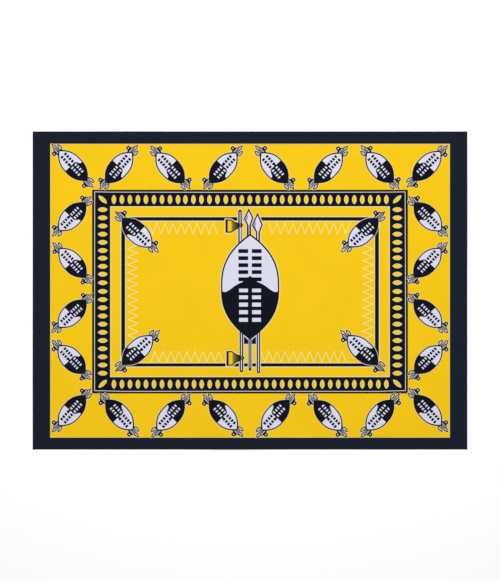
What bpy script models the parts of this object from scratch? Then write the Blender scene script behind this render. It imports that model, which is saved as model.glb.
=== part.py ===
"""A kanga: one rectangle of printed cotton, laid out face up on a flat surface.

The long side runs along X and the short side along Y. The origin is on the surface, under the middle of the
cloth. The long sides are selvedges, and the two short, cut ends are turned under as narrow hems.
"""

import math
from collections import namedtuple

import bmesh
import bpy

# The cut cloth, in metres.
CLOTH_LENGTH = 1.500
CLOTH_WIDTH = 1.098
CLOTH_THICKNESS = 0.001

# The turned hem: its width, the second layer that it adds, and the short slope down to the single cloth.
HEM_WIDTH = 0.008
HEM_EXTRA = 0.001
HEM_SLOPE = 0.001

# The cloth lies as it fell, in long, very low swells. It rests on the surface wherever they come to nothing.
SWELL_HEIGHT = 0.0024
Swell = namedtuple("Swell", "wave_length heading_deg phase_deg share")
SWELLS = (
    Swell(wave_length=0.56, heading_deg=18, phase_deg=150, share=0.42),
    Swell(wave_length=0.74, heading_deg=81, phase_deg=205, share=0.34),
    Swell(wave_length=0.97, heading_deg=137, phase_deg=120, share=0.36),
)

# The grid that carries the swells: about thirteen cells to the shortest wave.
CELLS_ALONG = 36
CELLS_ACROSS = 26

CLOTH_COLOUR = (0.93, 0.58, 0.012, 1.0)
CLOTH_ROUGHNESS = 0.86


def clear_scene():
    """Remove whatever the scene holds."""
    for old in list(bpy.data.objects):
        bpy.data.objects.remove(old, do_unlink=True)


def lift(x, y):
    """How far the cloth's underside stands off the surface at a place."""
    swell = 0.0
    for wave in SWELLS:
        heading = math.radians(wave.heading_deg)
        along = x * math.cos(heading) + y * math.sin(heading)
        turn = 2 * math.pi * along / wave.wave_length + math.radians(wave.phase_deg)
        swell += wave.share * math.cos(turn)
    return SWELL_HEIGHT * max(0.0, swell) ** 2


def thickness(x):
    """The cloth's thickness at a place along its length: double in the hems, single between them."""
    from_end = CLOTH_LENGTH / 2 - abs(x)
    past_hem = (from_end - HEM_WIDTH) / HEM_SLOPE
    share = 1.0 - min(1.0, max(0.0, past_hem))
    return CLOTH_THICKNESS + HEM_EXTRA * share


def cut_line(bm, x):
    """Cut the whole sheet across, at a place along its length."""
    geometry = bm.verts[:] + bm.edges[:] + bm.faces[:]
    bmesh.ops.bisect_plane(bm, geom=geometry, dist=0.00001, plane_co=(x, 0, 0), plane_no=(1, 0, 0))


def cloth_material():
    """Dyed cotton: the colour of the cloth's ground, quite matt."""
    material = bpy.data.materials.new("printed_cotton")
    material.use_nodes = True
    shader = material.node_tree.nodes["Principled BSDF"]
    shader.inputs["Base Color"].default_value = CLOTH_COLOUR
    shader.inputs["Roughness"].default_value = CLOTH_ROUGHNESS
    shader.inputs["Metallic"].default_value = 0.0
    return material


def make_cloth(collection):
    """The whole cloth with its hems, as one closed solid resting on the surface."""
    bpy.ops.mesh.primitive_grid_add(x_subdivisions=CELLS_ALONG, y_subdivisions=CELLS_ACROSS, size=1.0)
    cloth = bpy.context.object
    cloth.name = "kanga_cloth"
    cloth.data.name = "kanga_cloth"

    bm = bmesh.new()
    bm.from_mesh(cloth.data)
    bmesh.ops.scale(bm, vec=(CLOTH_LENGTH, CLOTH_WIDTH, 1.0), verts=bm.verts[:])
    hem_line = CLOTH_LENGTH / 2 - HEM_WIDTH
    for x in (hem_line, hem_line - HEM_SLOPE):
        cut_line(bm, x)
        cut_line(bm, -x)

    raised = bmesh.ops.extrude_face_region(bm, geom=bm.faces[:])
    upper_face = [item for item in raised["geom"] if isinstance(item, bmesh.types.BMVert)]
    for vert in upper_face:
        vert.co.z = thickness(vert.co.x)
    for vert in bm.verts:
        vert.co.z += lift(vert.co.x, vert.co.y)
    bmesh.ops.recalc_face_normals(bm, faces=bm.faces[:])
    bm.to_mesh(cloth.data)
    bm.free()

    cloth.data.materials.append(cloth_material())
    for other in list(cloth.users_collection):
        other.objects.unlink(cloth)
    collection.objects.link(cloth)
    return cloth


def main():
    clear_scene()
    collection = bpy.data.collections.new("kanga")
    bpy.context.scene.collection.children.link(collection)
    cloth = make_cloth(collection)
    highest = max(vert.co.z for vert in cloth.data.vertices)
    print("kanga_cloth:", len(cloth.data.polygons), "faces, highest point", round(highest * 1000, 2), "mm")


main()
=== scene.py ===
# %% [markdown]
# # A printed kanga, laid out flat
#
# A kanga is one rectangle of thin plain-weave cotton, printed on one face with a broad border round a
# field, and worn as a wrap. This lesson makes the cloth as a maker would: a design is drawn in flat inks,
# the inks are printed on one sheet, the sheet is laid down in the low swells in which it fell, and its cut
# ends are turned under and stitched.
#
# The first cell loads the measured model. Everything below is fitted to that frame, in metres.

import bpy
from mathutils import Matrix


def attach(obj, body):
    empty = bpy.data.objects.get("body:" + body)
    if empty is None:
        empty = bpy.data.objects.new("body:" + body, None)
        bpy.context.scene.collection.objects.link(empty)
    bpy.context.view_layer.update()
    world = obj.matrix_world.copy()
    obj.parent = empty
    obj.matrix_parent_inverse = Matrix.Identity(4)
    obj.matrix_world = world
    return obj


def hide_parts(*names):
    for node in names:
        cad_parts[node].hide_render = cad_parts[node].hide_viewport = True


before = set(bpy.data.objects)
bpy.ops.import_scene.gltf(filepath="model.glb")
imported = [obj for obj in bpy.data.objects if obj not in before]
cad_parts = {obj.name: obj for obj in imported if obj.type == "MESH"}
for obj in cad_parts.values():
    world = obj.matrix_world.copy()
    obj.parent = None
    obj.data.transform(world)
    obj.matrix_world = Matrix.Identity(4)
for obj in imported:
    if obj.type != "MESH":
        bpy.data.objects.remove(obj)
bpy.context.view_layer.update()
print("nodes in the frame:", sorted(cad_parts))

# %% Modules
import math
from collections import namedtuple

import bpy
import numpy as np
from mathutils import Vector
from mathutils.geometry import delaunay_2d_cdt

# %% [markdown]
# ## The camera
#
# A flat cloth is photographed from straight above, so that its sides stay parallel. The lens is worked out
# from what the picture takes in: a little over two metres from top to bottom. It could also be an
# orthographic camera, but a long lens far away gives the other views a natural depth.

# %% Camera
CAMERA_HEIGHT = 5.0
SENSOR = 36.0
CLOTH_LENGTH = 1.500
CLOTH_IN_PICTURE = 434.5
PICTURE_HEIGHT = 581


def deselect_all():
    """An operator acts on all that is selected, and the frame is loaded with its nodes selected."""
    for piece in bpy.context.selected_objects:
        piece.select_set(False)


deselect_all()
view_height = PICTURE_HEIGHT * CLOTH_LENGTH / CLOTH_IN_PICTURE
bpy.ops.object.camera_add(location=(0, 0, CAMERA_HEIGHT), rotation=(0, 0, 0))
camera = bpy.context.object
camera.name = "camera"
camera.data.sensor_width = SENSOR
camera.data.lens = SENSOR * CAMERA_HEIGHT / view_height
bpy.context.scene.camera = camera
print("lens", round(camera.data.lens, 2), "mm, view", round(view_height, 3), "m high")

# %% [markdown]
# ## The inks
#
# The printer lays yellow on the white cloth, and then the blacks. What stays white is bare cloth. Every
# colour is linear light, as Blender's shaders take it. The few greys and olives stand for fine hatching in
# the figures. A fine white line on yellow looks cream or straw, because a little yellow creeps into the
# bare cloth from both sides, so such lines have pale inks of their own. One white for all of them would
# look too hard.

# %% Inks
INKS = {
    "border": (0.0085, 0.0129, 0.0224),
    "yellow": (0.793, 0.498, 0.0075),
    "black": (0.0045, 0.0060, 0.0124),
    "white": (0.612, 0.612, 0.737),
    "cream": (0.657, 0.593, 0.338),
    "pale cream": (0.639, 0.601, 0.488),
    "straw": (0.760, 0.653, 0.272),
    "pale yellow": (0.742, 0.512, 0.039),
    "light grey": (0.451, 0.441, 0.488),
    "pale grey": (0.282, 0.282, 0.366),
    "grey": (0.188, 0.188, 0.225),
    "dark grey": (0.070, 0.070, 0.089),
    "amber": (0.470, 0.310, 0.019),
    "olive": (0.150, 0.108, 0.014),
    "dark olive": (0.052, 0.039, 0.011),
    "brown black": (0.017, 0.012, 0.0075),
}
print(len(INKS), "inks")

# %% [markdown]
# ## Drawing tools
#
# A print is a stack of flat shapes, each laid over the ones before it. Each shape here is an outline in
# millimetres from the middle of the cloth, with the name of its ink. Five small tools draw nearly
# everything: a rectangle, a pointed oval, a soft-cornered blob, a line of even width, and a curve through a
# few points. A sixth makes an outline wider or narrower by an even margin, which is how a keyline is drawn
# round a figure.

# %% Outlines
design = []


def signed_area(points):
    """The area inside an outline in square millimetres, below zero where it runs clockwise."""
    return sum(a[0] * b[1] - b[0] * a[1] for a, b in zip(points, points[1:] + points[:1])) / 2


def put(ink, points):
    """Print one more shape over all that is printed so far."""
    design.append((ink, points))


def rectangle(left, right, low, high):
    return [(left, low), (right, low), (right, high), (left, high)]


def oval(half_length, half_width, power=2.0, steps=12):
    """A pointed oval along X: its half-width falls from the middle to nothing at each tip."""
    upper = []
    for step in range(steps + 1):
        along = math.cos(math.pi * step / steps)
        upper.append((half_length * along, half_width * (1 - abs(along) ** power)))
    lower = [(x, -y) for x, y in upper[-2:0:-1]]
    return upper + lower


def blob(x, y, half_length, half_width, steps=10, softness=0.75):
    """A soft-cornered patch: an ellipse at softness 1, nearer to a box below it."""
    points = []
    for step in range(steps):
        turn = 2 * math.pi * (step + 0.5) / steps
        across, up = math.cos(turn), math.sin(turn)
        px = x + half_length * math.copysign(abs(across) ** softness, across)
        py = y + half_width * math.copysign(abs(up) ** softness, up)
        points.append((px, py))
    return points


def curve(knots, steps=4):
    """Points along a smooth curve through the knots."""
    points = []
    for k in range(len(knots) - 1):
        before, start = knots[max(k - 1, 0)], knots[k]
        end, after = knots[k + 1], knots[min(k + 2, len(knots) - 1)]
        for step in range(steps):
            t = step / steps
            point = []
            for axis in (0, 1):
                bend = 2 * before[axis] - 5 * start[axis] + 4 * end[axis] - after[axis]
                twist = 3 * start[axis] - before[axis] - 3 * end[axis] + after[axis]
                lean = end[axis] - before[axis]
                point.append(start[axis] + 0.5 * t * (lean + t * (bend + t * twist)))
            points.append(tuple(point))
    points.append(knots[-1])
    return points


# %% Margins and lines
MITRE_LIMIT = 0.42
BLUNT_LIMIT = 0.65
TOO_SHORT = 1e-9


def corner_push(before, here, after, limit=MITRE_LIMIT):
    """The direction that widens a line at a corner, and how far it goes for each unit of width."""
    first = Vector((here[1] - before[1], before[0] - here[0]))
    second = Vector((after[1] - here[1], here[0] - after[0]))
    if first.length < TOO_SHORT:
        first = second
    if second.length < TOO_SHORT:
        second = first
    first.normalize()
    second.normalize()
    push = first + second
    if push.length < TOO_SHORT:
        return first, 1.0
    push.normalize()
    return push, 1.0 / max(limit, push.dot(first))


def grow(points, margin):
    """The same outline, wider by an even margin, or narrower by a negative one. Wider tips are blunter."""
    outward = math.copysign(1.0, signed_area(points))
    limit = BLUNT_LIMIT if margin > 0 else MITRE_LIMIT
    grown = []
    for k, here in enumerate(points):
        push, reach = corner_push(points[k - 1], here, points[(k + 1) % len(points)], limit)
        step = outward * margin * reach
        grown.append((here[0] + push.x * step, here[1] + push.y * step))
    return grown


def ribbon(route, width):
    """The outline of a line of even width along a route."""
    left, right = [], []
    for k, here in enumerate(route):
        before, after = route[max(k - 1, 0)], route[min(k + 1, len(route) - 1)]
        push, reach = corner_push(before, here, after)
        step = width / 2 * reach
        left.append((here[0] + push.x * step, here[1] + push.y * step))
        right.append((here[0] - push.x * step, here[1] - push.y * step))
    return left + right[::-1]


def placed(points, x, y, heading=0.0, side=1, long=1.0, wide=1.0):
    """An outline drawn along X, set on the cloth. Heading is in degrees, and side -1 mirrors it."""
    turn = math.radians(heading)
    ux, uy = math.cos(turn), math.sin(turn)
    moved = []
    for px, py in points:
        along, across = px * long, py * wide * side
        moved.append((x + along * ux - across * uy, y + along * uy + across * ux))
    return moved


print("drawing tools ready")

# %% [markdown]
# ## Border, ground and frame
#
# The blue-black border is printed to the cut edge. Inside it lies the yellow ground, and on the ground a
# black frame with a fine white line and a row of seed shapes. A smaller frame, one plain black line, holds
# the field. Each frame is drawn as a dark rectangle with a lighter one over it, which leaves a band of even
# width. No hand print is quite even: the white line bows in at the corners, and the seeds slip along their
# rows in places.

# %% Ground and frame
HALF_CLOTH_LENGTH = 750.0
HALF_CLOTH_WIDTH = 549.0
KEYLINE = 3.2

Area = namedtuple("Area", "left right low high")
GROUND = Area(left=-689.6, right=690.0, low=-507.8, high=506.4)
FRAME = Area(left=-545.0, right=545.0, low=-355.5, high=347.7)
FIELD = Area(left=-482.7, right=482.7, low=-299.1, high=290.7)
INNER_LINE = Area(left=-444.3, right=444.8, low=-262.3, high=253.2)
INNER_FIELD = Area(left=-431.3, right=431.4, low=-251.4, high=241.2)
FRAME_LINE_WIDTH = 2.1

# The frame's white line bows a little: its corners lie nearer the middle of the cloth. The bow was measured by
# matching the line with the photograph, place by place.
FRAME_LINE = [
    (-536.3, -345.9), (-500.0, -346.3), (-440.0, -348.2), (0.0, -347.6), (440.0, -348.2), (500.0, -346.3),
    (536.6, -345.7), (536.9, -150.0), (536.4, 100.0), (535.4, 340.4),
    (480.0, 339.5), (0.0, 338.7), (-480.0, 339.5), (-536.1, 340.6), (-536.2, 100.0), (-536.6, -150.0),
]
GROUND_KEYLINE = 1.0


def area_outline(area, margin=0.0):
    return grow(rectangle(*area), margin)


put("border", rectangle(-HALF_CLOTH_LENGTH, HALF_CLOTH_LENGTH, -HALF_CLOTH_WIDTH, HALF_CLOTH_WIDTH))
put("cream", area_outline(GROUND))
put("yellow", area_outline(GROUND, -GROUND_KEYLINE))
put("brown black", area_outline(FRAME))
put("white", grow(FRAME_LINE, FRAME_LINE_WIDTH / 2))
put("black", grow(FRAME_LINE, -FRAME_LINE_WIDTH / 2))
put("cream", area_outline(FIELD))
put("yellow", area_outline(FIELD, -KEYLINE))
print(len(design), "shapes in the border, the ground and the frame")

# %% Seeds in the frame
SEED_RIM = 1.3
SEED_BLUNTNESS = 2.6
Seeds = namedtuple("Seeds", "count pitch x y heading half_length half_width slips")

# Where a row is uneven, its seeds from the first to the last one named stand a little further along it.
Slip = namedtuple("Slip", "first last along")
SEED_ROWS = (
    Seeds(count=35, pitch=27.66, x=0.5, y=313.9, heading=90, half_length=16.3, half_width=7.9,
          slips=(Slip(9, 13, -2.1), Slip(14, 18, -1.0))),
    Seeds(count=35, pitch=27.66, x=0.5, y=-323.4, heading=90, half_length=16.1, half_width=7.9,
          slips=(Slip(11, 13, -1.2),)),
    Seeds(count=21, pitch=28.24, x=-508.4, y=-3.2, heading=0, half_length=17.1, half_width=8.1,
          slips=(Slip(11, 11, 1.7), Slip(12, 12, 2.9), Slip(13, 14, 1.8))),
    Seeds(count=21, pitch=28.24, x=508.6, y=-3.2, heading=0, half_length=17.2, half_width=8.1,
          slips=(Slip(11, 11, 2.0), Slip(12, 14, 3.1), Slip(15, 15, 1.7))),
)
CornerSeed = namedtuple("CornerSeed", "x y heading")
CORNER_SEEDS = (
    CornerSeed(x=-508.4, y=314.1, heading=137),
    CornerSeed(x=508.1, y=315.0, heading=43),
    CornerSeed(x=-508.4, y=-322.0, heading=223),
    CornerSeed(x=508.2, y=-321.3, heading=317),
)
CORNER_SEED_HALF_LENGTH = 19.8
CORNER_SEED_HALF_WIDTH = 7.3


def seed(x, y, heading, half_length, half_width):
    """One seed: a yellow pointed oval with a fine pale rim."""
    outline = placed(oval(half_length, half_width, power=SEED_BLUNTNESS, steps=12), x, y, heading)
    put("cream", outline)
    put("pale yellow", grow(outline, -SEED_RIM))


for row in SEED_ROWS:
    for k in range(row.count):
        offset = (k - (row.count - 1) / 2) * row.pitch
        offset += sum(slip.along for slip in row.slips if slip.first <= k <= slip.last)
        x, y = (row.x + offset, row.y) if row.heading == 90 else (row.x, row.y + offset)
        seed(x, y, row.heading, row.half_length, row.half_width)
for spot in CORNER_SEEDS:
    seed(spot.x, spot.y, spot.heading, CORNER_SEED_HALF_LENGTH, CORNER_SEED_HALF_WIDTH)
print(len(design), "shapes after the seeds")

# %% [markdown]
# ## The fine zig-zags and the line round the field
#
# Just inside the line runs a fine white zig-zag, in two runs along the top and the bottom, which leave room
# for the tall figure, and one run down each side. A run is one line of even width through its turning
# points, so it needs only where it starts, how far apart the turns are and on which side the first one
# lies.

# %% Zig-zags
ZIGZAG_WIDTH = 3.1
Zigzag = namedtuple("Zigzag", "start pitch lean turns first second slant upright", defaults=(0.0, False))

# Slant is how far a run drifts to one side for each millimetre along it.
SIDE_RUN = {"start": 157.5, "pitch": -27.15, "lean": -13.6, "turns": 25, "upright": True}
ZIGZAGS = (
    Zigzag(start=-348.8, pitch=27.85, lean=12.7, turns=18, first=232.0, second=195.5),
    Zigzag(start=64.8, pitch=28.1, lean=11.8, turns=21, first=232.2, second=195.7),
    Zigzag(start=-342.5, pitch=27.6, lean=13.8, turns=19, first=-246.6, second=-210.1),
    Zigzag(start=23.9, pitch=28.0, lean=13.8, turns=23, first=-246.8, second=-210.3),
    Zigzag(first=-389.7, second=-422.7, slant=-0.008, **SIDE_RUN),
    Zigzag(first=390.3, second=424.8, slant=0.006, **SIDE_RUN),
)


def zigzag_route(run):
    """The turning points of one run, by turns on its first and its second side."""
    route = []
    for k in range(run.turns):
        along = run.start + run.pitch * (k // 2) + run.lean * (k % 2)
        across = run.second if k % 2 else run.first
        across += run.slant * (along - run.start)
        route.append((across, along) if run.upright else (along, across))
    return route


for run in ZIGZAGS:
    put("straw", ribbon(zigzag_route(run), ZIGZAG_WIDTH))
print(sum(run.turns for run in ZIGZAGS), "turns in", len(ZIGZAGS), "zig-zag runs")

# %% Line round the field
# The line is four bars, so that the yellow and the zig-zags beside it stay as they are.
BARS = (
    Area(INNER_LINE.left, INNER_LINE.right, INNER_FIELD.high, INNER_LINE.high),
    Area(INNER_LINE.left, INNER_LINE.right, INNER_LINE.low, INNER_FIELD.low),
    Area(INNER_LINE.left, INNER_FIELD.left, INNER_LINE.low, INNER_LINE.high),
    Area(INNER_FIELD.right, INNER_LINE.right, INNER_LINE.low, INNER_LINE.high),
)
for bar in BARS:
    put("cream", area_outline(bar, KEYLINE))
for bar in BARS:
    put("black", area_outline(bar))
print(len(design), "shapes after the lines")

# %% [markdown]
# ## A figure: one ox-hide shield
#
# The shield is a pointed oval, black at one end and white at the other, with two rows of slits. A staff
# with a tassel and two spears stand behind it and show at both ends. The figure is drawn along X with its
# white end at +X and the staff on the +Y side, and is then turned and mirrored to each of its places. Where
# shapes overlap, a printer draws all the white keylines first, then the dark outlines, and then what fills
# them, so that no keyline cuts a neighbour. One drawing serves all of them, and a short record of what
# differs goes with each group.

# %% Parts of a figure
Part = namedtuple("Part", "outline ink weight fill")
CAP_LENGTH = 0.8
CAP_WIDTH = 0.45


def shaft(start, end, middle, half_width, round_start=False, round_end=True):
    """A straight bar along X, with its ends rounded where they show."""
    points = []
    for x, is_round, facing in ((end, round_end, 1), (start, round_start, -1)):
        cap = half_width * CAP_LENGTH * facing if is_round else 0.0
        points.append((x - cap, middle + half_width * facing))
        if is_round:
            points.append((x, middle + half_width * CAP_WIDTH * facing))
            points.append((x, middle - half_width * CAP_WIDTH * facing))
        points.append((x - cap, middle - half_width * facing))
    return points


def draw_parts(parts, place, keyline, keyline_ink):
    """Print several overlapping parts: their keylines, then their outlines, then their fills."""
    for part in parts:
        put(keyline_ink, place(grow(part.outline, keyline)))
    for part in parts:
        put(part.ink, place(part.outline))
    for part in parts:
        if part.fill:
            put(part.fill, place(grow(part.outline, -part.weight)))


# %% The small shield
SHIELD_POWER = 2.6
SMALL_HALF_LENGTH = 70.8
SMALL_HALF_WIDTH = 36.0
SMALL_OUTLINE = 3.9
SMALL_TIP_OUTLINE = 5.85
SMALL_SHIFT_ALONG = 1.7
SMALL_SHIFT_ACROSS = -0.9
SMALL_KEYLINE = 1.4
Slits = namedtuple("Slits", "first pitch length width rows")
PALE_SLITS = Slits(first=-33.8, pitch=10.35, length=5.2, width=9.2, rows=(6.2, -10.4))
DARK_SLITS = Slits(first=13.4, pitch=11.05, length=7.4, width=10.2, rows=(6.8, -9.7))

# Where the black hide ends, from the staff side to the other, with the short neck that joins the first slit.
HIDE_EDGE_STRAIGHT = ((3.9, 32.4), (3.5, 20.7), (3.3, 10.8), (11.0, 10.8), (11.0, 4.0), (3.6, 4.0))
HIDE_EDGE_CURVED = (
    (3.6, 1.5), (4.2, -6.0), (4.4, -9.6), (2.4, -14.0), (-1.2, -17.8), (-6.0, -20.2), (-11.3, -22.7),
    (-15.2, -25.6), (-16.2, -29.8),
)


def half_width_at(x, half_length, half_width):
    return half_width * (1 - abs(x / half_length) ** SHIELD_POWER)


def white_hide(reach):
    """The white part of the small shield: the hide's edge, and then the rim round the white end.

    Reach says how far the white runs under the black, as a share of the usual length.
    """
    half_length = SMALL_HALF_LENGTH - SMALL_TIP_OUTLINE
    half_width = SMALL_HALF_WIDTH - SMALL_OUTLINE
    curved = [(x * reach if x < 0 else x, y) for x, y in HIDE_EDGE_CURVED]
    hide_edge = list(HIDE_EDGE_STRAIGHT) + curve(curved, steps=3)
    rim = []
    steps = 20
    start, end = hide_edge[-1][0], hide_edge[0][0]
    for step in range(steps + 1):
        share = step / steps
        if share <= 0.5:
            x = start + (half_length - start) * math.sin(math.pi * share)
            rim.append((x, -half_width_at(x, half_length, half_width)))
        else:
            x = end + (half_length - end) * math.sin(math.pi * share)
            rim.append((x, half_width_at(x, half_length, half_width)))
    return hide_edge[1:-1] + rim


def slit_outlines(slits, count):
    half_length, half_width = slits.length / 2, slits.width / 2
    for k in range(count):
        x = slits.first + k * slits.pitch
        for y in slits.rows:
            yield rectangle(x - half_length, x + half_length, y - half_width, y + half_width)


print("small shield", 2 * SMALL_HALF_LENGTH, "by", 2 * SMALL_HALF_WIDTH, "mm")


# %% Staff, tassel and spears of the small figure
def turned_oval(x, y, half_length, half_width, heading, power=2.0):
    return placed(oval(half_length, half_width, power=power, steps=6), x, y, heading)


def spear(start, shoulder, wide_at, tip, middle, half_shaft, half_blade):
    """A shaft with a four-sided blade at its end."""
    return [
        (start, middle - half_shaft),
        (shoulder, middle - half_shaft),
        (wide_at, middle - half_blade),
        (tip, middle),
        (wide_at, middle + half_blade),
        (shoulder, middle + half_shaft),
        (start, middle + half_shaft),
    ]


# The staff and the spears start this far from the middle, out of sight under the shield.
HIDDEN = 52
WHITE_END = (
    Part(shaft(HIDDEN, 87, 7.6, 4.4), "brown black", 2.7, "light grey"),
    Part(blob(72.9, 19.4, 7.4, 7.4), "brown black", 5.0, "white"),
    Part(blob(71.5, 13.0, 11.5, 2.2), "brown black", 0, None),
    Part(spear(HIDDEN, 81, 91, 103.5, 1.4, 4.6, 7.2), "brown black", 3.1, "pale grey"),
    Part(turned_oval(75.6, -11.4, 13.8, 7.0, -6), "brown black", 3.2, "light grey"),
)
BLACK_END = (
    Part(shaft(-88, -HIDDEN, 7.4, 4.4, round_start=True, round_end=False), "brown black", 2.7, "light grey"),
    Part(blob(-72.2, 20.2, 7.4, 7.4), "brown black", 5.0, "white"),
    Part(blob(-73.0, 13.6, 12.0, 2.3), "brown black", 0, None),
    Part(spear(-HIDDEN, -78, -86, -101.0, 1.0, 4.8, 6.2), "brown black", 3.1, "pale grey"),
    Part(turned_oval(-74.6, -12.0, 14.4, 7.0, 6), "brown black", 3.2, "light grey"),
)

# The figures in the corners of the field differ a little: their slits stand further apart, and their staff
# and spears are set back towards the black end.
Look = namedtuple("Look", "keyline keyline_ink slit_spread slide white_blade black_blade")
OUTER_LOOK = Look(
    keyline=1.4, keyline_ink="cream", slit_spread=1.0, slide=0.0, white_blade="light grey",
    black_blade="light grey",
)
CORNER_LOOK = Look(
    keyline=1.6, keyline_ink="pale cream", slit_spread=1.02, slide=-2.1, white_blade="white",
    black_blade="grey",
)
SLITS_IN_ROW = 4
WHITE_BLADE = [(83.5, 1.4), (90.5, 4.6), (98.5, 1.4), (90.5, -1.8)]
BLACK_BLADE = [(-79.0, 1.0), (-86.5, 3.6), (-94.5, 1.0), (-86.5, -1.6)]


def small_figure(spot, look):
    """One small shield with its staff and spears, at a place on the cloth."""

    def place(points):
        return placed(points, spot.x, spot.y, spot.heading, spot.side, spot.long, spot.wide)

    def place_ends(points):
        return place([(px + look.slide, py) for px, py in points])

    def shifted(points):
        return [(px + SMALL_SHIFT_ALONG, py + SMALL_SHIFT_ACROSS) for px, py in points]

    shield = shifted(oval(SMALL_HALF_LENGTH, SMALL_HALF_WIDTH, power=SHIELD_POWER, steps=18))
    put(look.keyline_ink, place(grow(shield, look.keyline)))
    draw_parts(WHITE_END + BLACK_END, place_ends, SMALL_KEYLINE, "cream")
    put(look.white_blade, place_ends(WHITE_BLADE))
    put(look.black_blade, place_ends(BLACK_BLADE))
    put("black", place(shield))
    put("white", place(shifted(white_hide(spot.reach))))
    for slits, ink in ((PALE_SLITS, "white"), (DARK_SLITS, "black")):
        spread = slits._replace(first=slits.first * look.slit_spread, pitch=slits.pitch * look.slit_spread)
        for outline in slit_outlines(spread, SLITS_IN_ROW):
            put(ink, place(outline))


print(len(WHITE_END + BLACK_END), "parts stand behind a small shield")


# %% Places of the small figures
# Each row runs along one side. The figures lean by turns to one side and the other, and all but those at the
# corners of the cloth are mirrored by turns. Most of these numbers come from a fit of one figure to the
# photograph by another program, and are rounded.
Place = namedtuple("Place", "x y heading side long wide reach", defaults=(1.01, 1.0, 1.2))
PLACES = (
    Place(x=-610.5, y=429.5, heading=133.5, side=1, long=1.04, wide=0.97, reach=0.75),
    Place(x=-453.5, y=423.5, heading=49.0, side=1),
    Place(x=-274.0, y=422.5, heading=133.0, side=-1, long=1.02, wide=1.02),
    Place(x=-94.0, y=423.0, heading=48.0, side=1),
    Place(x=85.5, y=423.0, heading=131.5, side=-1, wide=1.02),
    Place(x=269.0, y=422.5, heading=47.5, side=1),
    Place(x=449.5, y=424.0, heading=131.5, side=-1, long=1.00, wide=1.03),
    Place(x=610.0, y=428.0, heading=46.0, side=-1, long=1.01, wide=0.97, reach=0.75),
    Place(x=-613.5, y=256.5, heading=226.0, side=-1, long=0.97, wide=0.98, reach=0.65),
    Place(x=-612.0, y=93.5, heading=133.0, side=1, long=0.99, wide=0.97, reach=0.75),
    Place(x=-613.5, y=-78.5, heading=224.0, side=-1, long=0.97, wide=0.98, reach=0.75),
    Place(x=-615.0, y=-240.0, heading=134.0, side=1, long=0.96, wide=1.0, reach=0.65),
    Place(x=613.5, y=256.0, heading=314.0, side=1, long=0.97, wide=0.99, reach=0.65),
    Place(x=612.0, y=94.0, heading=47.0, side=-1, long=0.99, wide=0.97, reach=0.75),
    Place(x=613.5, y=-78.0, heading=315.0, side=1, long=0.97, wide=0.98, reach=0.75),
    Place(x=615.0, y=-240.0, heading=45.5, side=-1, long=0.96, wide=1.0, reach=0.65),
    Place(x=-614.0, y=-413.0, heading=228.5, side=-1, long=1.01, wide=0.97, reach=0.75),
    Place(x=-452.0, y=-429.0, heading=312.0, side=-1),
    Place(x=-272.5, y=-430.0, heading=228.0, side=1),
    Place(x=-93.5, y=-429.5, heading=313.5, side=-1),
    Place(x=89.5, y=-430.0, heading=228.0, side=1),
    Place(x=267.5, y=-430.5, heading=312.5, side=-1),
    Place(x=450.0, y=-429.5, heading=228.0, side=1),
    Place(x=613.5, y=-412.0, heading=311.5, side=1, long=1.02, wide=0.97, reach=0.75),
)
CORNER_PLACES = (
    Place(x=-390.4, y=201.0, heading=316.5, side=1, long=1.03),
    Place(x=391.0, y=201.4, heading=223.0, side=-1, long=1.03),
    Place(x=-388.7, y=-207.7, heading=43.0, side=-1, long=1.05),
    Place(x=389.0, y=-207.7, heading=137.0, side=1, long=1.05),
)
for spot in PLACES:
    small_figure(spot, OUTER_LOOK)
for spot in CORNER_PLACES:
    small_figure(spot, CORNER_LOOK)
print(len(design), "shapes after", len(PLACES) + len(CORNER_PLACES), "small figures")

# %% [markdown]
# ## The tall figure
#
# The shield in the middle stands upright, so it is drawn straight on the cloth, with x to the right and y
# up. Its tassel fades from yellow to black towards the staff. A screen printer makes such a fade in a few
# flat steps, and so does this cell: the tassel is cut into narrow upright strips, each in a darker ink.

# %% The tall shield
TALL_MIDDLE = 11.5
TALL_SHIFT = 0.3
TALL_HALF_LENGTH = 181.0
TALL_TOP_LENGTH = 184.5
TALL_HALF_WIDTH = 100.5
TALL_OUTLINE = 4.8
TALL_TIP_OUTLINE = 6.72
TIP_REACH = 3.2


def upright(points):
    """An outline drawn along X, stood up on the middle of the tall shield, with its +X end at the top."""
    return placed(points, TALL_SHIFT, TALL_MIDDLE, heading=90, side=-1)


tall_shield = [
    (x * TALL_TOP_LENGTH / TALL_HALF_LENGTH if x > 0 else x, y)
    for x, y in oval(TALL_HALF_LENGTH, TALL_HALF_WIDTH, power=SHIELD_POWER, steps=44)
]
# The tip at the top is drawn out a little.
tall_shield[0] = (TALL_TOP_LENGTH + TIP_REACH, 0.0)
print("tall shield", TALL_TOP_LENGTH + TALL_HALF_LENGTH, "by", 2 * TALL_HALF_WIDTH, "mm")

# %% Tassels
TASSEL_OUTLINE = 4.4
TASSEL_BAR = 7.8
TASSEL_STEPS = 3
FADE = ("amber", "olive", "olive", "dark olive", "dark olive", "brown black")


def height_on(edge, x):
    """The height of a line of points at a place along X."""
    for (ax, ay), (bx, by) in zip(edge, edge[1:]):
        if ax <= x <= bx:
            return ay + (by - ay) * (x - ax) / (bx - ax)
    return edge[-1][1] if x > edge[-1][0] else edge[0][1]


def tassel_outline(bar_left, upper, lower):
    top, bottom = upper[0][1], lower[0][1]
    return [(bar_left, bottom), (bar_left, top)] + list(upper) + list(lower[::-1])


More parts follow.
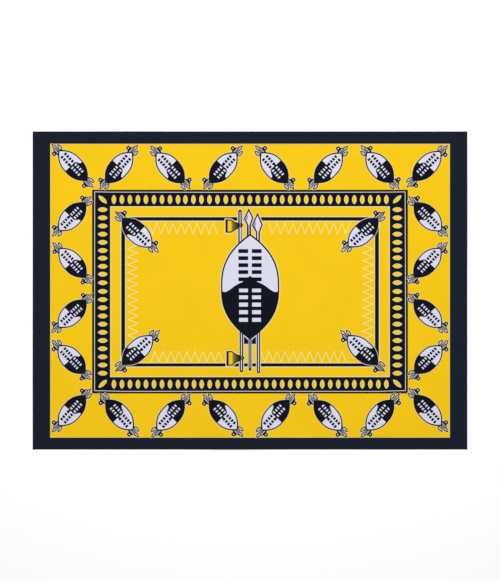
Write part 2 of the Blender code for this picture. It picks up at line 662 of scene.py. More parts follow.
def fill_tassel(bar_left, upper, lower, fade_start, fade_end):
    """A dark bar, a dark outline, and a body that fades from yellow to black towards the staff."""
    put("brown black", tassel_outline(bar_left, upper, lower))
    edges = [bar_left + TASSEL_BAR, fade_start]
    edges += [fade_start + (fade_end - fade_start) * (k + 1) / len(FADE) for k in range(len(FADE))]
    for left, right, ink in zip(edges, edges[1:], ("yellow",) + FADE):
        xs = np.linspace(left, right, TASSEL_STEPS + 1).tolist()
        over = [(x, height_on(upper, x) - TASSEL_OUTLINE) for x in xs]
        under = [(x, height_on(lower, x) + TASSEL_OUTLINE) for x in xs]
        put(ink, under + over[::-1])


TOP_TASSEL_UPPER = curve(
    [(-79.0, 246.0), (-68.5, 245.5), (-59.0, 241.5), (-52.0, 236.5), (-38.0, 234.0)], steps=3
)
TOP_TASSEL_LOWER = curve(
    [(-79.0, 199.5), (-68.5, 199.5), (-61.0, 201.5), (-52.0, 207.5), (-38.0, 215.0)], steps=3
)
FOOT_TASSEL_UPPER = curve(
    [(-77.0, -209.0), (-63.0, -209.0), (-55.0, -214.0), (-47.0, -219.0), (-33.0, -224.0)], steps=3
)
FOOT_TASSEL_LOWER = curve(
    [(-77.0, -260.0), (-63.0, -259.5), (-56.0, -256.0), (-48.0, -249.5), (-33.0, -243.0)], steps=3
)
print("each tassel fades in", len(FADE), "steps")

# %% Shafts and spears of the tall figure
def bar_up(left, right, low, high, round_top=False, round_foot=False):
    """An upright bar, with its top or foot rounded where it shows."""
    middle, half = (left + right) / 2, (right - left) / 2
    along = shaft(low, high, 0, half, round_start=round_foot, round_end=round_top)
    return [(middle + py, px) for px, py in along]


# The staff and the spears start this far above and below the middle, out of sight behind the shield.
BEHIND = 120.0
top_staff = bar_up(-40.7, -27.6, BEHIND, 279.0, round_top=True)
first_spear = [
    (-11.0, BEHIND), (-11.0, 227.0), (-21.4, 249.0), (-4.3, 284.0),
    (11.8, 250.5), (3.6, 227.0), (3.6, BEHIND),
]
second_spear = [
    (20.6, BEHIND), (20.6, 201.5), (6.2, 225.0), (26.3, 270.0),
    (44.2, 226.5), (34.4, 201.5), (34.4, BEHIND),
]
foot_staff = bar_up(-35.6, -23.4, -282.5, -BEHIND, round_foot=True)
foot_shaft = bar_up(23.2, 35.0, -286.0, -BEHIND, round_foot=True)
foot_middle = bar_up(-5.4, 5.6, -277.5, -BEHIND, round_foot=True)
TOP_BAR = -84.6
FOOT_BAR = -81.4
top_tassel = tassel_outline(TOP_BAR, TOP_TASSEL_UPPER, TOP_TASSEL_LOWER)
foot_tassel = tassel_outline(FOOT_BAR, FOOT_TASSEL_UPPER, FOOT_TASSEL_LOWER)

# Between the shafts under the shield lies a dark space, and below it the ground is a little paler.
SPACE_HALF_WIDTH = 24.0
SPACE_TOP = -150.0
SPACE_FOOT = -184.5
SPACE_LINE_FOOT = -188.0
PALE_GROUND_FOOT = -248.2
MIDDLE_KEYLINE = 2.24
SHAFT_KEYLINE = 2.56
put("pale yellow", rectangle(-SPACE_HALF_WIDTH, SPACE_HALF_WIDTH, PALE_GROUND_FOOT, SPACE_FOOT))
put("cream", rectangle(-SPACE_HALF_WIDTH, SPACE_HALF_WIDTH, SPACE_LINE_FOOT, SPACE_FOOT))
put("cream", grow(foot_middle, MIDDLE_KEYLINE))
put("black", rectangle(-SPACE_HALF_WIDTH, SPACE_HALF_WIDTH, SPACE_FOOT, SPACE_TOP))

for outline in (top_staff, first_spear, second_spear, top_tassel, foot_tassel):
    put("cream", grow(outline, KEYLINE))
for outline in (foot_staff, foot_shaft):
    put("cream", grow(outline, SHAFT_KEYLINE))
put("cream", upright(grow(tall_shield, KEYLINE)))

# The white lines of the dark space: one beside the shield's tip, one down the shaft, one beside the middle.
TIP_LINE = ((25.0, -152.2), (15.0, -160.4), (8.0, -167.5), (5.8, -171.0))
TIP_LINE_WIDTH = 2.8
space_lines = (
    ("white", ribbon(TIP_LINE, TIP_LINE_WIDTH)),
    ("white", rectangle(left=21.0, right=23.8, low=SPACE_FOOT, high=-148.0)),
    ("pale grey", rectangle(left=4.8, right=6.4, low=SPACE_FOOT, high=-166.0)),
)
for side in (-1, 1):
    for ink, outline in space_lines:
        put(ink, [(side * x, y) for x, y in outline])
print(len(design), "shapes after the keylines of the tall figure")

# %% Fills of the staff, tassels and spears
SPEAR_OUTLINE = 4.6
Bar = namedtuple("Bar", "ink left right low high round_top round_foot", defaults=(False, False))
Patch = namedtuple("Patch", "ink x y half_length half_width")
TOP_STAFF_BARS = (
    Bar("dark grey", left=-39.6, right=-36.4, low=BEHIND, high=273.0),
    Bar("pale grey", left=-36.4, right=-30.0, low=BEHIND, high=273.0, round_top=True),
    Bar("white", left=-33.6, right=-30.2, low=BEHIND, high=217.0),
)
SPEAR_BARS = (
    Bar("dark grey", left=-8.0, right=-5.6, low=BEHIND, high=222.0),
    Bar("pale grey", left=-5.6, right=-0.6, low=BEHIND, high=226.0),
    Bar("pale grey", left=28.0, right=30.4, low=BEHIND, high=200.0),
)
FOOT_STAFF_BARS = (Bar("white", left=-31.1, right=-27.9, low=-277.5, high=-BEHIND, round_foot=True),)
FOOT_SHAFT_BARS = (Bar("white", left=27.6, right=30.9, low=-281.0, high=-BEHIND, round_foot=True),)

# A knot ties each tassel to its staff.
TOP_KNOT = (
    Patch("black", x=-33.8, y=225.5, half_length=9.6, half_width=6.4),
    Patch("pale grey", x=-33.4, y=225.8, half_length=2.4, half_width=2.4),
)
FOOT_KNOT = (
    Patch("black", x=-28.6, y=-233.0, half_length=8.6, half_width=6.0),
    Patch("pale grey", x=-28.4, y=-233.0, half_length=2.6, half_width=2.6),
)
MIDDLE_END = (Patch("brown black", x=0.1, y=-272.5, half_length=3.4, half_width=4.6),)

# Hatching on the left of each blade, a pale shape with a darker one in it.
BLADE_SHADES = (
    ("pale grey", [(-14.5, 247.0), (-9.5, 262.0), (-6.5, 258.0), (-9.0, 245.0), (-12.0, 241.0)]),
    ("grey", [(-13.0, 250.0), (-10.0, 259.0), (-9.0, 252.0), (-11.0, 247.0)]),
    ("pale grey", [(13.0, 225.0), (18.5, 238.0), (20.5, 235.0), (19.0, 219.0), (21.5, 208.0), (17.0, 216.0)]),
    ("grey", [(13.0, 225.5), (17.0, 234.0), (17.0, 226.0), (15.5, 220.5)]),
)


def fill(ink, outline, bars=(), patches=()):
    """One part of the tall figure: its dark outline, and then the bars and patches on it."""
    put(ink, outline)
    for bar in bars:
        put(bar.ink, bar_up(bar.left, bar.right, bar.low, bar.high, bar.round_top, bar.round_foot))
    for patch in patches:
        put(patch.ink, blob(patch.x, patch.y, patch.half_length, patch.half_width))


fill_tassel(TOP_BAR, TOP_TASSEL_UPPER, TOP_TASSEL_LOWER, fade_start=-65.5, fade_end=-36.5)
fill_tassel(FOOT_BAR, FOOT_TASSEL_UPPER, FOOT_TASSEL_LOWER, fade_start=-62.0, fade_end=-34.0)
fill("black", top_staff, TOP_STAFF_BARS, TOP_KNOT)
for outline in (first_spear, second_spear):
    put("black", outline)
    put("white", grow(outline, -SPEAR_OUTLINE))
for bar in SPEAR_BARS:
    put(bar.ink, bar_up(bar.left, bar.right, bar.low, bar.high))
for ink, outline in BLADE_SHADES:
    put(ink, outline)
fill("black", foot_staff, FOOT_STAFF_BARS, FOOT_KNOT)
fill("black", foot_shaft, FOOT_SHAFT_BARS)
fill("grey", foot_middle, patches=MIDDLE_END)
print(len(design), "shapes after the fills")

# %% Hide of the tall shield
TALL_HIDE_EDGE = (
    (0.0, 39.3), (10.5, 31.5), (24.0, 19.5), (31.5, 15.5), (41.5, 11.0), (55.5, 2.5), (69.0, -8.0),
    (84.5, -16.5), (95.0, -15.0),
)
Span = namedtuple("Span", "inner outer")
DARK_SPAN = Span(inner=6.2, outer=40.2)
PALE_SPAN = Span(inner=7.2, outer=37.6)
Rung = namedtuple("Rung", "middle height")
DARK_RUNGS = (Rung(136.0, 13.6), Rung(111.6, 13.6), Rung(87.4, 13.6), Rung(63.6, 13.4), Rung(38.6, 13.4))
PALE_RUNGS = (Rung(0.2, 12.4), Rung(-23.3, 12.8), Rung(-48.8, 13.8), Rung(-74.8, 13.8), Rung(-101.2, 13.6))

put("black", upright(tall_shield))


def white_half():
    """The white upper half: the hide's edge from right to left, and then over the top."""
    right = curve(TALL_HIDE_EDGE, steps=3)
    left = [(-x, y) for x, y in right[:0:-1]]
    edge_start = right[-1][1]
    half_length = TALL_TOP_LENGTH - TALL_TIP_OUTLINE
    rim = []
    steps = 40
    for step in range(steps + 1):
        angle = math.pi * step / steps
        lift_up = edge_start + (half_length - edge_start) * math.sin(angle)
        half = half_width_at(lift_up, half_length, TALL_HALF_WIDTH - TALL_OUTLINE)
        rim.append((half if angle < math.pi / 2 else -half, lift_up))
    return left + right[:-1] + rim[:-1]


put("white", [(x + TALL_SHIFT, y + TALL_MIDDLE) for x, y in white_half()])
for ink, span, rungs in (("black", DARK_SPAN, DARK_RUNGS), ("white", PALE_SPAN, PALE_RUNGS)):
    for rung in rungs:
        low, high = rung.middle - rung.height / 2, rung.middle + rung.height / 2
        put(ink, rectangle(-span.outer, -span.inner, low, high))
        put(ink, rectangle(span.inner, span.outer, low, high))
print(len(design), "shapes in the whole design")

# %% [markdown]
# ## How the cloth lies
#
# Cloth laid out by hand never lies dead flat: it keeps long, very low swells, up to three millimetres high.
# They are a few waves added together, the same ones as in the measured model, so that the sheet lies on it
# everywhere. The cut ends are turned under twice and stitched. The turn is a path in a side view: straight
# in, round the outer fold, back under, round the inner fold and out again between the two layers.

# %% Swells
MM = 0.001
SWELL_HEIGHT = 0.0024
Swell = namedtuple("Swell", "wave_length heading_deg phase_deg share")
SWELLS = (
    Swell(wave_length=0.56, heading_deg=18, phase_deg=150, share=0.42),
    Swell(wave_length=0.74, heading_deg=81, phase_deg=205, share=0.34),
    Swell(wave_length=0.97, heading_deg=137, phase_deg=120, share=0.36),
)


def lift(x, y):
    """How far the cloth's underside stands off the surface, for arrays of places in metres."""
    swell = np.zeros_like(x)
    for wave in SWELLS:
        heading = math.radians(wave.heading_deg)
        along = x * math.cos(heading) + y * math.sin(heading)
        turn = 2 * math.pi * along / wave.wave_length + math.radians(wave.phase_deg)
        swell = swell + wave.share * np.cos(turn)
    return SWELL_HEIGHT * np.maximum(0.0, swell) ** 2


print(len(SWELLS), "waves, with lengths of", [wave.wave_length for wave in SWELLS], "m")


# %% The turned hem
THICKNESS = 0.5
LAYER_GAP = 0.1
HEM_INNER = 742.0
FLAT_END = 739.0
RAW_EDGE = 748.2
TURN_STEPS = 6
SLOPE_GAP = 0.2
single_top = THICKNESS
hem_top = 3 * THICKNESS + 2 * LAYER_GAP
outer_radius = hem_top / 2
inner_radius = (2 * THICKNESS + LAYER_GAP) / 2


def hem_path():
    """The printed face of a hem in a side view: how far out, and how high, in millimetres."""
    path = []
    for share in (0.0, 0.25, 0.5, 0.75, 1.0):
        rise = (1 - math.cos(math.pi * share)) / 2
        out = FLAT_END + (HEM_INNER - SLOPE_GAP - FLAT_END) * share
        path.append((out, single_top + (hem_top - single_top) * rise))
    path.append(((HEM_INNER + HALF_CLOTH_LENGTH) / 2, hem_top))
    for step in range(TURN_STEPS + 1):
        angle = math.pi / 2 - math.pi * step / TURN_STEPS
        out = HALF_CLOTH_LENGTH - outer_radius + outer_radius * math.cos(angle)
        path.append((out, outer_radius + outer_radius * math.sin(angle)))
    path.append(((HEM_INNER + HALF_CLOTH_LENGTH) / 2, 0.0))
    for step in range(TURN_STEPS + 1):
        angle = -math.pi / 2 - math.pi * step / TURN_STEPS
        out = HEM_INNER + inner_radius + inner_radius * math.cos(angle)
        path.append((out, inner_radius + inner_radius * math.sin(angle)))
    path.append((RAW_EDGE, 2 * inner_radius))
    return path


path = hem_path()
steps_along = [math.dist(a, b) for a, b in zip(path, path[1:])]
hem_run = [0.0]
for step in steps_along:
    hem_run.append(hem_run[-1] + step)
half_cut = FLAT_END + hem_run[-1]
print("cut length", round(2 * half_cut, 1), "mm, width", 2 * HALF_CLOTH_WIDTH, "mm")

# %% [markdown]
# ## The printed sheet
#
# The print could be a picture on the cloth, or a pattern worked out by the shader. Here the shapes are cut
# into the sheet itself: Blender's triangulation takes all the outlines at once, and no triangle crosses
# one. The last shape that a triangle's middle lies in is the ink on top. Edges stay crisp at any distance,
# and each triangle's ink goes into a colour attribute that the material reads. Loose points between the
# outlines let the sheet follow the swells.

# %% Cut the design into triangles
GRID_STEP = 30.0
MERGE = 0.0001
LOOSE_MARGIN = 5.0


def edge_spots(half, step):
    count = round(2 * half / step)
    return [-half + 2 * half * k / count for k in range(count + 1)]


across_spots = edge_spots(HALF_CLOTH_WIDTH, GRID_STEP)
along_spots = edge_spots(FLAT_END, GRID_STEP)
sheet_outline = [(x, -HALF_CLOTH_WIDTH) for x in along_spots[:-1]]
sheet_outline += [(FLAT_END, y) for y in across_spots[:-1]]
sheet_outline += [(x, HALF_CLOTH_WIDTH) for x in along_spots[:0:-1]]
sheet_outline += [(-FLAT_END, y) for y in across_spots[:0:-1]]

points, edges = [], []
for outline in [sheet_outline] + [outline for ink, outline in design[1:]]:
    first = len(points)
    points += [Vector(point) for point in outline]
    edges += [(k, k + 1) for k in range(first, len(points) - 1)] + [(len(points) - 1, first)]
for row, y in enumerate(across_spots[1:-1]):
    shift = GRID_STEP / 2 if row % 2 else 0.0
    points += [Vector((x + shift, y)) for x in along_spots[1:-1] if abs(x + shift) < FLAT_END - LOOSE_MARGIN]

flat_points, _, triangles, _, _, _ = delaunay_2d_cdt(points, edges, [], 0, MERGE, False)
flat = np.array([(p.x, p.y) for p in flat_points])
triangles = np.array(triangles)
print(len(points), "points,", len(design), "shapes,", len(triangles), "triangles")


# %% Ink the triangles
def lies_inside(outline, xs, ys):
    """Which of the places an outline winds round."""
    winding = np.zeros(len(xs), int)
    for (ax, ay), (bx, by) in zip(outline, outline[1:] + outline[:1]):
        side = (bx - ax) * (ys - ay) - (xs - ax) * (by - ay)
        winding += (ay <= ys) & (by > ys) & (side > 0)
        winding -= (ay > ys) & (by <= ys) & (side < 0)
    return winding != 0


middles = flat[triangles].mean(axis=1)
ink_names = list(INKS)
top_ink = np.full(len(triangles), ink_names.index("border"))
for ink, outline in design[1:]:
    xs, ys = np.array(outline).T
    near = (middles[:, 0] > xs.min()) & (middles[:, 0] < xs.max())
    near &= (middles[:, 1] > ys.min()) & (middles[:, 1] < ys.max())
    candidates = np.nonzero(near)[0]
    covered = lies_inside(outline, middles[candidates, 0], middles[candidates, 1])
    top_ink[candidates[covered]] = ink_names.index(ink)
cells = [tuple(int(k) for k in triangle) for triangle in triangles]
inks = [ink_names[k] for k in top_ink]
print({name: int((top_ink == k).sum()) for k, name in enumerate(ink_names)})

# %% Add the hems and build the mesh
flat_x = flat[:, 0] * MM
flat_y = flat[:, 1] * MM
places = np.column_stack([flat_x, flat_y, lift(flat_x, flat_y) + single_top * MM])
cut_places = [flat * MM]
sheet_places = [places]
first = len(places)
for end in (1, -1):
    outs = np.array([p[0] for p in path]) * MM * end
    heights = np.array([p[1] for p in path]) * MM
    ys = np.array(across_spots) * MM
    grid_out, grid_y = np.meshgrid(outs, ys, indexing="ij")
    grid_height = np.meshgrid(heights, ys, indexing="ij")[0]
    grid_run = np.meshgrid((FLAT_END + np.array(hem_run)) * MM * end, ys, indexing="ij")[0]
    grid_z = lift(grid_out, grid_y) + grid_height
    sheet_places.append(np.column_stack([grid_out.ravel(), grid_y.ravel(), grid_z.ravel()]))
    cut_places.append(np.column_stack([grid_run.ravel(), grid_y.ravel()]))
    rows, columns = grid_out.shape
    for i in range(rows - 1):
        for j in range(columns - 1):
            here = first + i * columns + j
            quad = (here, here + columns, here + columns + 1, here + 1)
            cells.append(quad if end == 1 else quad[::-1])
            inks.append("border")
    first += rows * columns

mesh = bpy.data.meshes.new("kanga")
mesh.from_pydata(np.vstack(sheet_places).tolist(), [], cells)
kanga = bpy.data.objects.new("kanga", mesh)
bpy.context.scene.collection.objects.link(kanga)

cut_attribute = mesh.attributes.new("cut", "FLOAT_VECTOR", "POINT")
cut_flat = np.vstack(cut_places)
cut_attribute.data.foreach_set("vector", np.column_stack([cut_flat, np.zeros(len(cut_flat))]).ravel())

print_attribute = mesh.color_attributes.new("print", "FLOAT_COLOR", "CORNER")
corner_counts = [len(cell) for cell in cells]
cell_colours = np.array([INKS[ink] + (1.0,) for ink in inks])
print_attribute.data.foreach_set("color", np.repeat(cell_colours, corner_counts, axis=0).ravel())
print(len(mesh.polygons), "faces in the printed sheet")

# %% Weld the hems on and give the cloth its thickness
def make_active(piece):
    deselect_all()
    piece.select_set(True)
    bpy.context.view_layer.objects.active = piece


WELD_DISTANCE = 0.000002
SMOOTH_ANGLE = 50
make_active(kanga)
bpy.ops.object.mode_set(mode="EDIT")
bpy.ops.mesh.select_all(action="SELECT")
bpy.ops.mesh.remove_doubles(threshold=WELD_DISTANCE)
bpy.ops.object.mode_set(mode="OBJECT")
face_points = len(mesh.vertices)
face_count = len(mesh.polygons)

thicken = kanga.modifiers.new("thickness", "SOLIDIFY")
thicken.thickness = THICKNESS * MM
thicken.offset = -1
bpy.ops.object.modifier_apply(modifier=thicken.name)
bpy.ops.object.shade_smooth_by_angle(angle=math.radians(SMOOTH_ANGLE))
mesh = kanga.data
print(face_count, "faces on the printed side,", len(mesh.polygons), "in all")

# %% [markdown]
# ## Unfolding the cloth
#
# A map from the cloth to a flat square lets other programs paint or bake it. The printed face takes the
# lower two thirds of the square at its full length, the reverse takes the rest, and the thin cut edges get
# a strip each. Nothing overlaps. An automatic unwrap would do too, but it would leave the printed face far
# fewer pixels.

# %% Map
Strip = namedtuple("Strip", "low high")
FACE_STRIP = Strip(low=0.004, high=0.640)
REVERSE_STRIP = Strip(low=0.664, high=0.996)
RIM_STRIP = Strip(low=0.644, high=0.660)
RIM_ROWS = 4
SIDE_MARGIN = 0.003
RIM_MARGIN = 0.15
ON_SIDE = 1e-6


def across_square(along):
    """From a share of the cut length to a place between the side margins of the square."""
    return SIDE_MARGIN + (1 - 2 * SIDE_MARGIN) * along


def unfolded(strip, cut_x, cut_y, mirrored):
    along = cut_x / (2 * half_cut * MM) + 0.5
    up = cut_y / (2 * HALF_CLOTH_WIDTH * MM) + 0.5
    if mirrored:
        along = 1 - along
    return across_square(along), strip.low + (strip.high - strip.low) * up


corner_vertex = np.zeros(len(mesh.loops), np.int32)
mesh.loops.foreach_get("vertex_index", corner_vertex)
corner_face = np.repeat(np.arange(len(mesh.polygons)), [len(p.vertices) for p in mesh.polygons])
cut_now = np.zeros(len(mesh.vertices) * 3)
mesh.attributes["cut"].data.foreach_get("vector", cut_now)
cut_now = cut_now.reshape(-1, 3)
cut_x = cut_now[corner_vertex, 0]
cut_y = cut_now[corner_vertex, 1]

u, v = unfolded(FACE_STRIP, cut_x, cut_y, mirrored=False)
reverse_u, reverse_v = unfolded(REVERSE_STRIP, cut_x, cut_y, mirrored=True)
is_reverse = (corner_face >= face_count) & (corner_face < 2 * face_count)
is_rim = corner_face >= 2 * face_count
u = np.where(is_reverse, reverse_u, u)
v = np.where(is_reverse, reverse_v, v)

on_reverse = corner_vertex >= face_points
on_long_side = np.abs(np.abs(cut_y) - HALF_CLOTH_WIDTH * MM) < ON_SIDE
rim_step = (RIM_STRIP.high - RIM_STRIP.low) / RIM_ROWS
rim_faces = np.unique(corner_face[is_rim])
for face in rim_faces:
    start = mesh.polygons[face].loop_start
    corners = list(range(start, start + mesh.polygons[face].loop_total))
    is_long = bool(np.all(on_long_side[corners]))
    if is_long:
        along = cut_x[corners] / (2 * half_cut * MM) + 0.5
        row = 0 if cut_y[corners[0]] > 0 else 1
    else:
        along = cut_y[corners] / (2 * HALF_CLOTH_WIDTH * MM) + 0.5
        row = 2 if cut_x[corners[0]] > 0 else 3
    low = RIM_STRIP.low + rim_step * row
    u[corners] = across_square(along)
    v[corners] = low + rim_step * (RIM_MARGIN + (1 - 2 * RIM_MARGIN) * on_reverse[corners])

map_layer = mesh.uv_layers.new(name="OFBake")
map_layer.data.foreach_set("uv", np.column_stack([u, v]).astype(np.float32).ravel())
mesh.uv_layers.active = map_layer
material_slots = np.zeros(len(mesh.polygons), np.int32)
material_slots[face_count:2 * face_count] = 1
mesh.polygons.foreach_set("material_index", material_slots)
print(len(rim_faces), "faces on the cut edges")

# %% [markdown]
# ## Printed cotton
#
# Close up, the cloth is a plain weave of about sixty threads to the inch. Each thread goes over one and
# under the next, so the weave is worked out as two sets of ridges that take turns on top. Threads vary in
# thickness, which shows as short faint streaks along both directions, and the dye takes a little unevenly.
# The ink sits on the crowns of the threads, so the black is a touch paler in the hollows between them. The
# The crowns of the threads are painted a touch lighter and the hollows between them a touch darker: painted
# highlight and painted shade. The reverse gets the same material with less ink, because the print only partly
# strikes through.

# %% Shader tools
def add_node(tree, kind, inputs=None, **settings):
    """A new node with its settings and with values or links on its inputs."""
    new = tree.nodes.new(kind)
    for name, value in settings.items():
        setattr(new, name, value)
    for name, value in (inputs or {}).items():
        if isinstance(value, bpy.types.NodeSocket):
            tree.links.new(value, new.inputs[name])
        else:
            new.inputs[name].default_value = value
    return new


def maths(tree, operation, first, second=0.0, third=0.0):
    """One sum on values or sockets."""
    return add_node(tree, "ShaderNodeMath", {0: first, 1: second, 2: third}, operation=operation).outputs[0]


def mix_colours(tree, factor, first, second):
    """A blend of two colours. On the mix node they are inputs 6 and 7, and their blend is output 2."""
    blend = add_node(tree, "ShaderNodeMix", {0: factor, 6: first, 7: second}, data_type="RGBA")
    return blend.outputs[2]


def streaks(tree, coordinates, scale, detail=2.0):
    """Noise stretched along one direction, as a thread's uneven thickness shows."""
    mapping = add_node(tree, "ShaderNodeMapping", {"Vector": coordinates, "Scale": scale})
    noise = add_node(
        tree,
        "ShaderNodeTexNoise",
        {"Vector": mapping.outputs[0], "Scale": 1.0, "Detail": detail, "Roughness": 0.6},
    )
    return noise.outputs[0]


# %% Plain weave
THREAD_PITCH = 0.00043


def plain_weave(tree, coordinates):
    """Two sets of ridges, over and under by turns. Returns the height, from 0 to 1."""
    axes = add_node(tree, "ShaderNodeSeparateXYZ", {"Vector": coordinates})
    waves = []
    for axis in ("X", "Y"):
        angle = maths(tree, "MULTIPLY", axes.outputs[axis], math.pi / THREAD_PITCH)
        waves.append(maths(tree, "SINE", angle))
    along, across = waves
    heights = []
    for ridge, other, turn in ((along, across, 0.5), (across, along, -0.5)):
        crossing = maths(tree, "MULTIPLY", maths(tree, "SIGN", ridge), other)
        over = maths(tree, "MULTIPLY_ADD", crossing, turn, 0.5)
        heights.append(maths(tree, "MULTIPLY", maths(tree, "ABSOLUTE", ridge), over))
    return maths(tree, "MAXIMUM", heights[0], heights[1])


print("one thread every", THREAD_PITCH * 1000, "mm")


# %% The cotton itself
WEAVE_DEPTH = 0.00006
WARP_SCALE = (2300, 28, 1)
WEFT_SCALE = (34, 2300, 1)
MOTTLE_SCALE = (160, 140, 1)
DRIFT_SCALE = (7, 9, 1)
SLUB_SHADE = 0.10
SLUB_RELIEF = 0.35
SLUB_ROUGHNESS = 0.12


def cotton(name, ink_strength, bare_cloth, roughness):
    """Plain-weave cotton that carries the print, at full strength or as it strikes through."""
    material = bpy.data.materials.new(name)
    material.use_nodes = True
    tree = material.node_tree
    shader = tree.nodes["Principled BSDF"]
    place = add_node(tree, "ShaderNodeTexCoord").outputs["Object"]
    printed = add_node(tree, "ShaderNodeAttribute", attribute_name="print", attribute_type="GEOMETRY")

    weave = plain_weave(tree, place)
    warp = streaks(tree, place, WARP_SCALE)
    weft = streaks(tree, place, WEFT_SCALE)
    slubs = maths(tree, "ADD", warp, weft)
    mottle = streaks(tree, place, MOTTLE_SCALE, detail=3.0)
    drift = streaks(tree, place, DRIFT_SCALE, detail=1.0)

    # The shade runs from about 0.94 to 1.06 of the ink's own lightness. Each layer adds its share and takes
    # its middle value off again.
    shade = maths(tree, "MULTIPLY_ADD", slubs, SLUB_SHADE, 1 - SLUB_SHADE)
    # Slubs, mottle and drift are the cloth's own uneven tone. The weave layer is painted light: a painted
    # highlight on the thread crowns and painted shade in the hollows between them.
    for layer, share, middle in ((mottle, 0.16, 0.08), (drift, 0.08, 0.04), (weave, 0.10, 0.04)):
        shade = maths(tree, "MULTIPLY_ADD", layer, share, maths(tree, "ADD", shade, -middle))

    struck = mix_colours(tree, ink_strength, bare_cloth, printed.outputs["Color"])
    shaded = add_node(tree, "ShaderNodeVectorMath", {0: struck, "Scale": shade}, operation="SCALE")
    tree.links.new(shaded.outputs[0], shader.inputs["Base Color"])

    relief = maths(tree, "MULTIPLY_ADD", slubs, SLUB_RELIEF, weave)
    bump = add_node(
        tree, "ShaderNodeBump", {"Height": relief, "Strength": 0.6, "Distance": WEAVE_DEPTH}
    )
    tree.links.new(bump.outputs[0], shader.inputs["Normal"])

    worn = maths(tree, "MULTIPLY_ADD", slubs, SLUB_ROUGHNESS, roughness - SLUB_ROUGHNESS)
    tree.links.new(worn, shader.inputs["Roughness"])
    shader.inputs["Specular IOR Level"].default_value = 0.05
    shader.inputs["Sheen Weight"].default_value = 0.0
    return material


BARE_COTTON = (0.62, 0.60, 0.50, 1.0)
printed_face = cotton("printed cotton", 1.0, BARE_COTTON, roughness=0.90)
reverse_face = cotton("reverse of the cloth", 0.80, BARE_COTTON, roughness=0.92)
mesh.materials.append(printed_face)
mesh.materials.append(reverse_face)
print("materials:", [material.name for material in mesh.materials])

# %% [markdown]
# ## Hem stitches
#
# Each hem is held by one row of machine stitches in black thread, about eight to the inch. One stitch is a
# small stretched ball that dips into the cloth at both ends. It is made once, repeated along the hem by an
# Array modifier, and then each stitch is lifted to the cloth where it lies.

# %% Stitches
STITCH_PITCH = 3.1
STITCH_HALF_SIZE = (0.19, 1.35, 0.16)
STITCH_LINE = 744.0
UPPER_HEIGHT = hem_top + 0.02
LOWER_HEIGHT = 0.03
FREE_ENDS = 8.0
stitch_rows = []
stitch_count = int((2 * HALF_CLOTH_WIDTH - FREE_ENDS) / STITCH_PITCH)
row_start = -(stitch_count - 1) / 2 * STITCH_PITCH


def vertex_places(mesh):
    spots = np.zeros(len(mesh.vertices) * 3)
    mesh.vertices.foreach_get("co", spots)
    return spots.reshape(-1, 3)


for end in (1, -1):
    for height in (UPPER_HEIGHT, LOWER_HEIGHT):
        deselect_all()
        bpy.ops.mesh.primitive_uv_sphere_add(segments=6, ring_count=4, radius=1.0)
        stitch = bpy.context.object
        stitch.name = "hem_stitches"
        local = stitch.data
        spots = vertex_places(local)[:, [0, 2, 1]] * STITCH_HALF_SIZE
        spots[:, 1] += row_start
        local.vertices.foreach_set("co", (spots * MM).ravel())
        local.flip_normals()
        repeat = stitch.modifiers.new("along the hem", "ARRAY")
        repeat.use_relative_offset = False
        repeat.use_constant_offset = True
        repeat.constant_offset_displace = (0, STITCH_PITCH * MM, 0)
        repeat.count = stitch_count
        bpy.ops.object.modifier_apply(modifier=repeat.name)
        spots = vertex_places(local)
        per_stitch = len(spots) // stitch_count
        middles = spots.reshape(stitch_count, per_stitch, 3).mean(axis=1)
        rises = lift(np.full(stitch_count, end * STITCH_LINE * MM), middles[:, 1]) + height * MM
        spots[:, 0] += end * STITCH_LINE * MM
        spots[:, 2] += np.repeat(rises, per_stitch)
        local.vertices.foreach_set("co", spots.ravel())
        local.update()
        stitch_rows.append(stitch)

make_active(stitch_rows[0])
for row in stitch_rows:
    row.select_set(True)
bpy.ops.object.join()
stitches = bpy.context.object
stitches.name = "hem_stitches"
bpy.ops.object.shade_smooth()
print(4 * stitch_count, "stitches,", len(stitches.data.polygons), "faces")

# %% [markdown]
# ## Thread
#
# Sewing thread is two or three fine yarns twisted together, so it gets a slanting ripple and a slight
# gloss. Its colour carries painted shade in the hollows of the twist and a painted highlight on its crowns.

# %% Thread
# The two thread colours are painted light: the darker one is painted shade for the twist's hollows, the
# lighter one a painted highlight for its crowns.
THREAD_HOLLOW_SHADE = (0.012, 0.013, 0.020, 1.0)
THREAD_CROWN_HIGHLIGHT = (0.026, 0.028, 0.038, 1.0)
TWIST_SLANT = 35
TWIST_SCALE = 900.0
TWIST_DEPTH = 0.00004
thread = bpy.data.materials.new("black thread")
thread.use_nodes = True
tree = thread.node_tree
shader = tree.nodes["Principled BSDF"]
place = add_node(tree, "ShaderNodeTexCoord").outputs["Object"]
slant = add_node(tree, "ShaderNodeMapping", {"Vector": place, "Rotation": (0, 0, math.radians(TWIST_SLANT))})
twist = add_node(
    tree,
    "ShaderNodeTexWave",
    {"Vector": slant.outputs[0], "Scale": TWIST_SCALE, "Distortion": 0.6, "Detail": 1.0},
    bands_direction="Y",
)
ripple_shade = mix_colours(tree, twist.outputs[1], THREAD_HOLLOW_SHADE, THREAD_CROWN_HIGHLIGHT)
tree.links.new(ripple_shade, shader.inputs["Base Color"])
ripple = add_node(
    tree, "ShaderNodeBump", {"Height": twist.outputs[1], "Strength": 0.5, "Distance": TWIST_DEPTH}
)
tree.links.new(ripple.outputs[0], shader.inputs["Normal"])
shader.inputs["Roughness"].default_value = 0.55
shader.inputs["Specular IOR Level"].default_value = 0.3
stitches.data.materials.append(thread)
print("material:", thread.name)

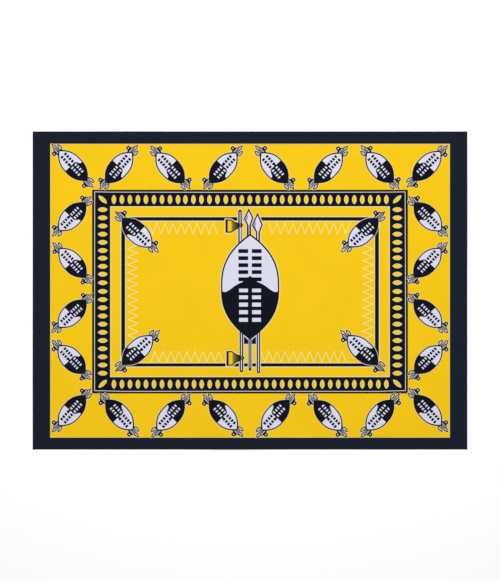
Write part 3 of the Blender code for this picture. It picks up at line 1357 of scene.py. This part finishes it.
# %% [markdown]
# ## Floor and light
#
# The cloth lies on a plain white floor under soft, even light. A bright sky-like surround gives most of it,
# and one large soft lamp, a little towards the top of the cloth, makes the foot slightly darker than the
# head.

# %% Floor
FLOOR_DROP = 0.0002
FLOOR_SIZE = 40.0
FLOOR_DARK = (0.975, 0.975, 0.975, 1.0)
FLOOR_LIGHT = (0.990, 0.990, 0.990, 1.0)
bpy.ops.mesh.primitive_plane_add(size=FLOOR_SIZE, location=(0, 0, -FLOOR_DROP))
floor = bpy.context.object
floor.name = "floor"
floor_paint = bpy.data.materials.new("white floor")
floor_paint.use_nodes = True
tree = floor_paint.node_tree
shader = tree.nodes["Principled BSDF"]
place = add_node(tree, "ShaderNodeTexCoord").outputs["Object"]
grain = add_node(tree, "ShaderNodeTexNoise", {"Vector": place, "Scale": 60.0, "Detail": 2.0})
tone = mix_colours(tree, grain.outputs[0], FLOOR_DARK, FLOOR_LIGHT)
tree.links.new(tone, shader.inputs["Base Color"])
shader.inputs["Roughness"].default_value = 0.9
shader.inputs["Specular IOR Level"].default_value = 0.1
floor.data.materials.append(floor_paint)
print("floor", FLOOR_DROP * 1000, "mm under the cloth")

# %% Light
SURROUND_STRENGTH = 0.65
LAMP_POWER = 74.5
LAMP_SIZE = 3.0
LAMP_PLACE = (0.0, 1.1, 3.2)
world = bpy.data.worlds.new("surround")
world.use_nodes = True
bpy.context.scene.world = world
background = world.node_tree.nodes["Background"]
background.inputs["Color"].default_value = (1.0, 1.0, 1.0, 1.0)
background.inputs["Strength"].default_value = SURROUND_STRENGTH

bpy.ops.object.light_add(type="AREA", location=LAMP_PLACE)
lamp = bpy.context.object
lamp.name = "soft lamp"
lamp.data.energy = LAMP_POWER
lamp.data.shape = "SQUARE"
lamp.data.size = LAMP_SIZE
lamp.visible_camera = False
bpy.context.scene.view_settings.view_transform = "Standard"
print("surround", SURROUND_STRENGTH, "lamp", LAMP_POWER, "W")

# %% [markdown]
# ## Hand over
#
# The sheet stands for the measured cloth, and the stitches go with it. The sheet's flat size is what a
# maker would cut: the laid length and what the two hems take up.

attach(kanga, "root")
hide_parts("kanga_cloth")
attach(stitches, "root")
